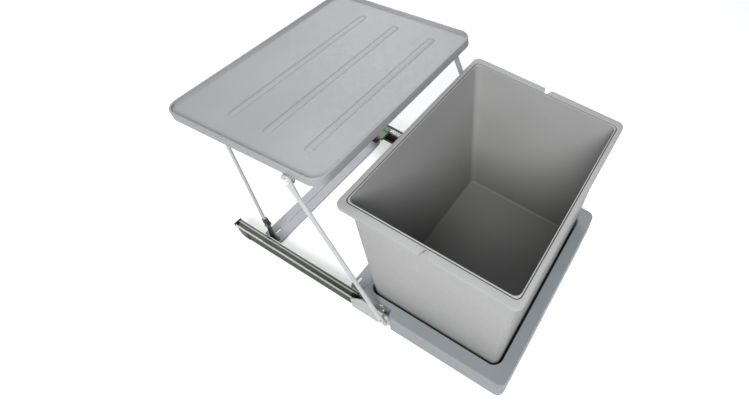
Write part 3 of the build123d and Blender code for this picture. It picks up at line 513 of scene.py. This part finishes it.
@dataclass
class BinShell(RingLoft):
    """The bin: a drafted tub with a ridge and groove round its mouth and a bag notch each side."""

    name: str = "bin_shell"
    centre_y: float = -297.0
    half_width: float = 190.0
    half_depth: float = 148.0
    rim_top: float = 374.0
    rim_corner: float = 12.0
    rim_thickness: float = 3.0
    skirt: float = 5.5
    skirt_wall: float = 2.2
    reach_x: float = 13.5
    reach_y: float = 8.5
    draft_x: float = 0.032
    draft_y: float = 0.04
    corner: float = 13.0
    wall: float = 2.5
    foot: float = 33.0
    floor: float = 3.0
    foot_round: float = 6.0
    groove_inset_x: float = 12.5
    groove_inset_y: float = 7.8
    groove_corner: float = 9.0
    groove_width: float = 1.6
    groove_depth: float = 2.0
    edge_round: float = 0.8
    fine_round: float = 0.35
    wall_rings: int = 14
    wall_lift: float = 1.0
    wall_drop: float = 1.4
    heel_drop: float = 1.5
    notch_foot: float = 2.5
    notch_front: float = 8.0
    notch_rear: float = 5.0
    notch_squeeze: float = 0.01
    notch_slack: float = 0.1
    # How much painted shade the inside holds at its deepest, and the outside at its foot.
    painted_shade_inside: float = 0.5
    painted_shade_outside: float = 0.42

    def side_at(self, z: float, inset: float = 0.0) -> tuple[float, float, float]:
        """The wall's outside half width, half depth and corner at a height, less an inset.

        Args:
            z: the height.
            inset: how far inside the outer face.

        Returns:
            Half width, half depth and corner radius.
        """
        drop = self.rim_top - z
        half_x = self.half_width - self.reach_x - self.draft_x * drop - inset
        half_y = self.half_depth - self.reach_y - self.draft_y * drop - inset
        return half_x, half_y, self.corner - inset

    def walls(self, low: float, high: float, inset: float) -> np.ndarray:
        """Straight rings of a drafted wall between two heights, by linear mixing.

        Args:
            low: the first height.
            high: the last height.
            inset: how far inside the outer face.

        Returns:
            Rows of half width, half depth, corner radius and height.
        """
        ends = np.array([[*self.side_at(z, inset), z] for z in (low, high)])
        share = np.linspace(0.0, 1.0, self.wall_rings)[:, None]
        return ends[0] + (ends[1] - ends[0]) * share

    def profile(self) -> np.ndarray:
        """Runs from the middle of the floor up the inside, over the rim and down the outside.

        Returns:
            Rows of half width, half depth, corner radius and height.
        """
        floor_top = self.foot + self.floor
        inner_round = self.foot_round - self.wall
        tiny = self.fine_round
        mouth_x, mouth_y, mouth_corner = self.side_at(self.rim_top, self.wall)
        ridge_x = self.half_width - self.groove_inset_x - self.groove_width
        ridge_y = self.half_depth - self.groove_inset_y - self.groove_width
        ridge_corner = self.groove_corner - self.groove_width
        groove_foot = self.rim_top - self.groove_depth
        land_x, land_y = ridge_x + self.groove_width, ridge_y + self.groove_width
        round_x = self.half_width - self.edge_round
        round_y = self.half_depth - self.edge_round
        round_corner = self.rim_corner - self.edge_round
        skirt_foot = self.rim_top - self.skirt
        lip_x, lip_y = self.half_width - self.skirt_wall, self.half_depth - self.skirt_wall
        under = self.rim_top - self.rim_thickness
        foot_x, foot_y, foot_corner = self.side_at(floor_top + inner_round, self.wall + inner_round)
        heel_x, heel_y, heel_corner = self.side_at(self.foot + self.foot_round, self.foot_round)
        body_x, body_y, body_corner = self.side_at(under, 0.0)
        return np.concatenate((
            [[foot_x - inner_round, foot_y - inner_round, foot_corner, floor_top]],
            rounding(
                foot_x, foot_y, foot_corner, floor_top + inner_round, inner_round, -90.0, 0.0
            ),
            self.walls(
                floor_top + inner_round + self.wall_lift, self.rim_top - self.wall_drop, self.wall
            ),
            rounding(
                mouth_x + tiny, mouth_y + tiny, mouth_corner + tiny, self.rim_top - tiny, tiny,
                180.0, 90.0, 3,
            ),
            rounding(
                ridge_x - tiny, ridge_y - tiny, ridge_corner - tiny, self.rim_top - tiny, tiny,
                90.0, 0.0, 3,
            ),
            [[ridge_x, ridge_y, ridge_corner, groove_foot]],
            [[land_x, land_y, self.groove_corner, groove_foot]],
            rounding(
                land_x + tiny, land_y + tiny, self.groove_corner + tiny, self.rim_top - tiny, tiny,
                180.0, 90.0, 3,
            ),
            rounding(
                round_x, round_y, round_corner, self.rim_top - self.edge_round, self.edge_round,
                90.0, 0.0, 5,
            ),
            rounding(
                self.half_width - tiny, self.half_depth - tiny, self.rim_corner - tiny,
                skirt_foot + tiny, tiny, 0.0, -90.0, 3,
            ),
            [[lip_x, lip_y, self.rim_corner - self.skirt_wall, skirt_foot]],
            [[lip_x, lip_y, self.rim_corner - self.skirt_wall, under]],
            [[body_x, body_y, body_corner, under]],
            self.walls(under - self.heel_drop, self.foot + self.foot_round, 0.0),
            rounding(
                heel_x, heel_y, heel_corner, self.foot + self.foot_round, self.foot_round, 0.0,
                -90.0,
            ),
        ))

    def notched(self, grid: np.ndarray) -> np.ndarray:
        """Cuts the bag notches into the rim.

        Where a rim point lies further out than the notch's edge, it is drawn in to that edge. The
        edge stands at the groove within the notch's foot, and eases out to the rim's edge by a
        smooth step of the distance from there: steeply behind it and gently in front of it.

        Args:
            grid: the rings' points, still centred on the bin.

        Returns:
            The points with the notches in them.
        """
        x, y, z = grid[..., 0], grid[..., 1], grid[..., 2]
        length = np.where(y < 0.0, self.notch_front, self.notch_rear) - self.notch_foot
        rise = np.clip((np.abs(y) - self.notch_foot) / length, 0.0, 1.0)
        ease = rise * rise * (3.0 - 2.0 * rise)
        edge = self.half_width - self.groove_inset_x + self.groove_inset_x * ease
        drawn = edge + (np.abs(x) - edge) * self.notch_squeeze
        in_rim = (z > self.rim_top - self.skirt - self.notch_slack) & (np.abs(x) > edge)
        cut = grid.copy()
        cut[..., 0] = np.where(in_rim, np.sign(x) * drawn, x)
        return cut

    def painted_shade(self, levels: np.ndarray) -> np.ndarray:
        """How much painted shade each ring carries.

        The groove takes the darkest, as shade in a crease. The inside takes more the deeper it is,
        by the square of the share of the depth, and the outside a little towards its foot by the
        same rule.

        Args:
            levels: rows of half width, half depth, corner radius and height.

        Returns:
            One value from 0 to 1 for each ring.
        """
        height = levels[:, 3]
        depth = np.clip((self.rim_top - height) / (self.rim_top - self.foot), 0.0, 1.0)
        inside = np.arange(len(levels)) < np.argmax(height)
        held = np.where(inside, self.painted_shade_inside, self.painted_shade_outside) * depth**2
        # Painted shade: darkest in the groove, darker with depth inside and towards the foot
        # outside.
        return np.where(np.isclose(height, self.rim_top - self.groove_depth), 1.0, held)

    def build(self) -> None:
        """Makes the shell, dresses it and puts it in the place of the bin's solid."""
        levels = self.profile()
        grid = self.notched(self.rings(levels)) + np.array([0.0, self.centre_y, 0.0])
        piece = self.mesh(self.name, grid, sharp=32.0, painted_shade=self.painted_shade(levels))
        piece.data.materials.append(BIN_PLASTIC.material())
        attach(piece, "drawer")
        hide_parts("bin")
        log.info("%s: %d faces, stands for the bin", self.name, len(piece.data.polygons))


@dataclass
class LidShell(RingLoft):
    """The lid: a dished panel with a rolled lip and skirt, soft domed beads and two lugs."""

    name: str = "lid_shell"
    front_y: float = -135.0631
    front_z: float = 418.0621
    tilt: float = 7.7
    half_width: float = 195.0
    half_depth: float = 157.5
    corner: float = 24.0
    skirt: float = 16.0
    wall: float = 2.2
    lip: float = 3.0
    recess: float = 6.0
    panel: float = 2.5
    recess_round: float = 2.5
    recess_edge: float = 8.0
    lip_round: float = 0.8
    foot_round: float = 0.6
    bead_places: tuple[float, ...] = (61.0, 142.0, 217.0)
    bead_half_length: float = 156.0
    bead_half_width: float = 8.0
    bead_height: float = 1.1
    bead_rings: int = 14
    bead_ridge: float = 0.04
    bead_sink: float = 0.02
    lug_back: float = 60.0
    lug_drop: float = 22.0
    lug_radius: float = 9.5
    lug_root: float = 14.25
    lug_round: float = 0.4
    lug_sunk: float = 0.5
    lug_steps: int = 28

    def placed(self, grid: np.ndarray) -> np.ndarray:
        """Turns points of the lid's own frame into the model's frame.

        The lid's own axes are across, back from its front edge, and up out of its top. Back and up
        are turned about the front edge by the lid's tilt.

        Args:
            grid: points by across, back and up.

        Returns:
            The points by x, y and z.
        """
        across, back, up = np.moveaxis(grid, -1, 0)
        lean, rise = sin(radians(self.tilt)), cos(radians(self.tilt))
        y = self.front_y + back * rise + up * lean
        z = self.front_z - back * lean + up * rise
        return np.stack((across, y, z), axis=-1)

    def profile(self) -> np.ndarray:
        """Runs from the panel up over the lip, down the skirt and back under the panel.

        Returns:
            Rows of half width, half depth, corner radius and height above the lid's top.
        """
        wide, deep, corner = self.half_width, self.half_depth, self.corner
        dish = self.lip + self.recess_round
        flat = dish + self.recess_edge
        under = -self.recess - self.panel
        inner = self.wall
        return np.concatenate((
            [[wide - flat, deep - flat, corner - flat, -self.recess]],
            rounding(
                wide - dish, deep - dish, corner - dish, -self.recess + self.recess_round,
                self.recess_round, -90.0, 0.0, 6,
            ),
            rounding(
                wide - self.lip + self.lip_round, deep - self.lip + self.lip_round,
                corner - self.lip + self.lip_round, -self.lip_round, self.lip_round, 180.0, 90.0, 5,
            ),
            rounding(
                wide - self.lip_round, deep - self.lip_round, corner - self.lip_round,
                -self.lip_round, self.lip_round, 90.0, 0.0, 5,
            ),
            rounding(
                wide - self.foot_round, deep - self.foot_round, corner - self.foot_round,
                -self.skirt + self.foot_round, self.foot_round, 0.0, -90.0, 4,
            ),
            [[wide - inner, deep - inner, corner - inner, -self.skirt]],
            [[wide - inner, deep - inner, corner - inner, under]],
        ))

    def bead(self, place: float) -> np.ndarray:
        """One long domed bead, tangent to the panel round its foot.

        Its rings are slots that shrink from the foot to the ridge. The height is half the bead's
        height times one plus the cosine of the share of the half width, drawn out to a half turn.

        Args:
            place: how far back from the lid's front edge the bead lies.

        Returns:
            The points by x, y and z.
        """
        out = np.linspace(1.0, self.bead_ridge, self.bead_rings)
        reach = self.bead_half_width * out
        dome = 0.5 * self.bead_height * (1.0 + np.cos(np.pi * out))
        height = dome - self.recess - self.bead_sink
        long = self.bead_half_length - self.bead_half_width + reach
        grid = self.rings(np.stack((long, reach, reach, height), axis=1))
        return self.placed(grid + np.array([0.0, place, 0.0]))

    def lug(self, side: float) -> np.ndarray:
        """One lug below the skirt, a plate with its edges eased.

        Its outline is the lower arc of a circle about the arm's rivet, between the two tangents
        from the ends of its root under the panel. The outline is drawn in along its normals by
        the rounding's inset at each of four distances across the plate.

        Args:
            side: 1 for the right, -1 for the left.

        Returns:
            The points by x, y and z.
        """
        root_up = -self.recess - self.panel + self.lug_sunk
        drop = self.lug_drop + root_up
        far = np.hypot(self.lug_root, drop)
        tangent = np.arctan2(self.lug_root, drop) + np.arccos(self.lug_radius / far)
        sweep = np.linspace(-np.pi + tangent, np.pi - tangent, self.lug_steps)
        arc = np.stack((np.sin(sweep), -np.cos(sweep)), axis=1) * self.lug_radius
        arc += np.array([self.lug_back, -self.lug_drop])
        ends = np.array([[self.lug_back + self.lug_root, root_up],
                         [self.lug_back - self.lug_root, root_up]])
        outline = np.concatenate((arc, ends))
        along = np.roll(outline, -1, axis=0) - np.roll(outline, 1, axis=0)
        along /= np.linalg.norm(along, axis=1)[:, None]
        inward = np.stack((-along[:, 1], along[:, 0]), axis=1)
        outer, inner = self.half_width - TOUCH, self.half_width - self.wall
        layers = np.array([
            [inner, self.lug_round], [inner + self.lug_round, 0.0],
            [outer - self.lug_round, 0.0], [outer, self.lug_round],
        ])[:: int(side)]
        flat = outline[None] + inward[None] * layers[:, 1][:, None, None]
        across = np.broadcast_to(side * layers[:, 0][:, None], flat.shape[:2])
        grid = np.stack((across, flat[..., 0], flat[..., 1]), axis=-1)
        return self.placed(grid)

    def build(self) -> None:
        """Makes the shell, its beads and its lugs, and puts them in the place of the solid."""
        finish = LID_PLASTIC.material()
        middle = np.array([0.0, self.half_depth, 0.0])
        shell = self.placed(self.rings(self.profile()) + middle)
        pieces = [self.mesh(self.name, shell, sharp=32.0)]
        for number, place in enumerate(self.bead_places, 1):
            pieces.append(self.mesh(f"lid_bead_{number}", self.bead(place)))
        for side, word in ((-1.0, "left"), (1.0, "right")):
            pieces.append(self.mesh(f"lid_lug_{word}", self.lug(side)))
        for piece in pieces:
            piece.data.materials.append(finish)
            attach(piece, "lid")
            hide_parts("lid")
            log.info("%s: %d faces, stands for the lid", piece.name, len(piece.data.polygons))


def seen_share(tree: bpy.types.NodeTree) -> bpy.types.NodeSocket:
    """Adds nodes that tell whether a ray comes from the camera, a reflection or clear matter.

    Args:
        tree: the node tree that they go in.

    Returns:
        The output that is 1 for such a ray and 0 for one that carries diffuse light.
    """
    path = tree.nodes.new("ShaderNodeLightPath")
    total = path.outputs["Is Camera Ray"]
    for kind in ("Is Glossy Ray", "Is Transmission Ray"):
        add = tree.nodes.new("ShaderNodeMath")
        add.operation = "MAXIMUM"
        tree.links.new(total, add.inputs[0])
        tree.links.new(path.outputs[kind], add.inputs[1])
        total = add.outputs[0]
    return total


@dataclass(frozen=True)
class Lamp:
    """A square soft light: its name, place and side in metres, and power in watts."""

    name: str
    place: tuple[float, float, float]
    size: float
    power: float


@dataclass
class Studio:
    """The pale floor, the soft lights and the camera at the photograph's view."""

    camera_place: tuple[float, float, float] = (-0.46162, -0.50611, 1.02288)
    camera_turn: tuple[float, float, float] = (43.05098, -6.89611, -61.95487)
    lens: float = 25.502
    shift: tuple[float, float] = (-0.19968, -0.12453)
    sky: tuple[float, float, float] = (0.90, 0.95, 1.0)
    sky_strength: float = 0.23
    floor_size: float = 14.0
    floor_seen: float = 0.95
    floor_glow: float = 0.36
    floor_bounce: float = 0.40
    floor_roughness: float = 0.9
    aim: tuple[float, float, float] = (0.0, -0.12, 0.2)
    lamps: tuple[Lamp, ...] = (
        Lamp("window", (-1.35, -0.8, 1.6), 1.0, 42.0),
        Lamp("rear_window", (1.3, 1.3, 1.6), 1.2, 26.0),
    )

    def camera(self) -> None:
        """Places the camera."""
        data = bpy.data.cameras.new("photo_camera")
        data.sensor_width = 36.0
        data.lens = self.lens
        data.shift_x, data.shift_y = self.shift
        data.clip_start = 0.01
        held = bpy.data.objects.new("photo_camera", data)
        held.location = self.camera_place
        held.rotation_euler = [radians(a) for a in self.camera_turn]
        bpy.context.scene.collection.objects.link(held)
        bpy.context.scene.camera = held

    def world(self) -> None:
        """Lights the object evenly with a cool sky, and shows white to the camera and to gloss."""
        world = bpy.data.worlds.new("soft_daylight")
        bpy.context.scene.world = world
        world.use_nodes = True
        tree = world.node_tree
        sky = tree.nodes["Background"]
        sky.inputs["Color"].default_value = (*self.sky, 1.0)
        sky.inputs["Strength"].default_value = self.sky_strength
        white = tree.nodes.new("ShaderNodeBackground")
        white.inputs["Color"].default_value = (1.0, 1.0, 1.0, 1.0)
        choose = tree.nodes.new("ShaderNodeMixShader")
        tree.links.new(seen_share(tree), choose.inputs[0])
        tree.links.new(sky.outputs["Background"], choose.inputs[1])
        tree.links.new(white.outputs["Background"], choose.inputs[2])
        tree.links.new(choose.outputs[0], tree.nodes["World Output"].inputs["Surface"])

    def light(self, lamp: Lamp) -> None:
        """Adds a soft light that faces the middle of the object.

        Args:
            lamp: the light's place, size and power.
        """
        data = bpy.data.lights.new(lamp.name, "AREA")
        data.size = lamp.size
        data.energy = lamp.power
        lit = bpy.data.objects.new(lamp.name, data)
        lit.location = lamp.place
        facing = Vector(self.aim) - Vector(lamp.place)
        lit.rotation_euler = facing.to_track_quat("-Z", "Y").to_euler()
        bpy.context.scene.collection.objects.link(lit)

    def floor(self) -> None:
        """Lays the pale floor, white to the camera and greyer as a source of bounced light."""
        half = self.floor_size / 2
        mesh = bpy.data.meshes.new("studio_floor")
        corners = [(-half, -half, 0), (half, -half, 0), (half, half, 0), (-half, half, 0)]
        mesh.from_pydata(corners, [], [(0, 1, 2, 3)])
        ground = bpy.data.objects.new("studio_floor", mesh)
        bpy.context.scene.collection.objects.link(ground)
        graph = ShaderGraph("studio_floor")
        shader = graph.shader
        shader.inputs["Roughness"].default_value = self.floor_roughness
        shader.inputs["Emission Color"].default_value = (1.0, 1.0, 1.0, 1.0)
        seen = seen_share(graph.tree)
        for socket, plain, shown in (
            ("Base Color", self.floor_bounce, self.floor_seen),
            ("Emission Strength", 0.0, self.floor_glow),
        ):
            held = graph.node("ShaderNodeMapRange")
            held.inputs["To Min"].default_value = plain
            held.inputs["To Max"].default_value = shown
            graph.tree.links.new(seen, held.inputs["Value"])
            graph.join(held, "Result", shader, socket)
        mesh.materials.append(graph.material)

    def build(self) -> None:
        """Sets up the whole studio."""
        bpy.context.scene.view_settings.view_transform = "Standard"
        self.camera()
        self.world()
        self.floor()
        for lamp in self.lamps:
            self.light(lamp)


def dress_nodes() -> None:
    """Gives each CAD node its finish."""
    for dress in WARDROBE:
        material = dress.finish.material()
        for name in dress.nodes:
            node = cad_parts[name]
            node.data.materials.clear()
            node.data.materials.append(material)
            log.info("%s wears %s", name, dress.finish.name)


def main() -> None:
    """Builds the studio, dresses the model and adds the moulded shells."""
    logging.basicConfig(level=logging.INFO)
    Studio().build()
    dress_nodes()
    BinShell().build()
    LidShell().build()


if __name__ == "__main__":
    main()
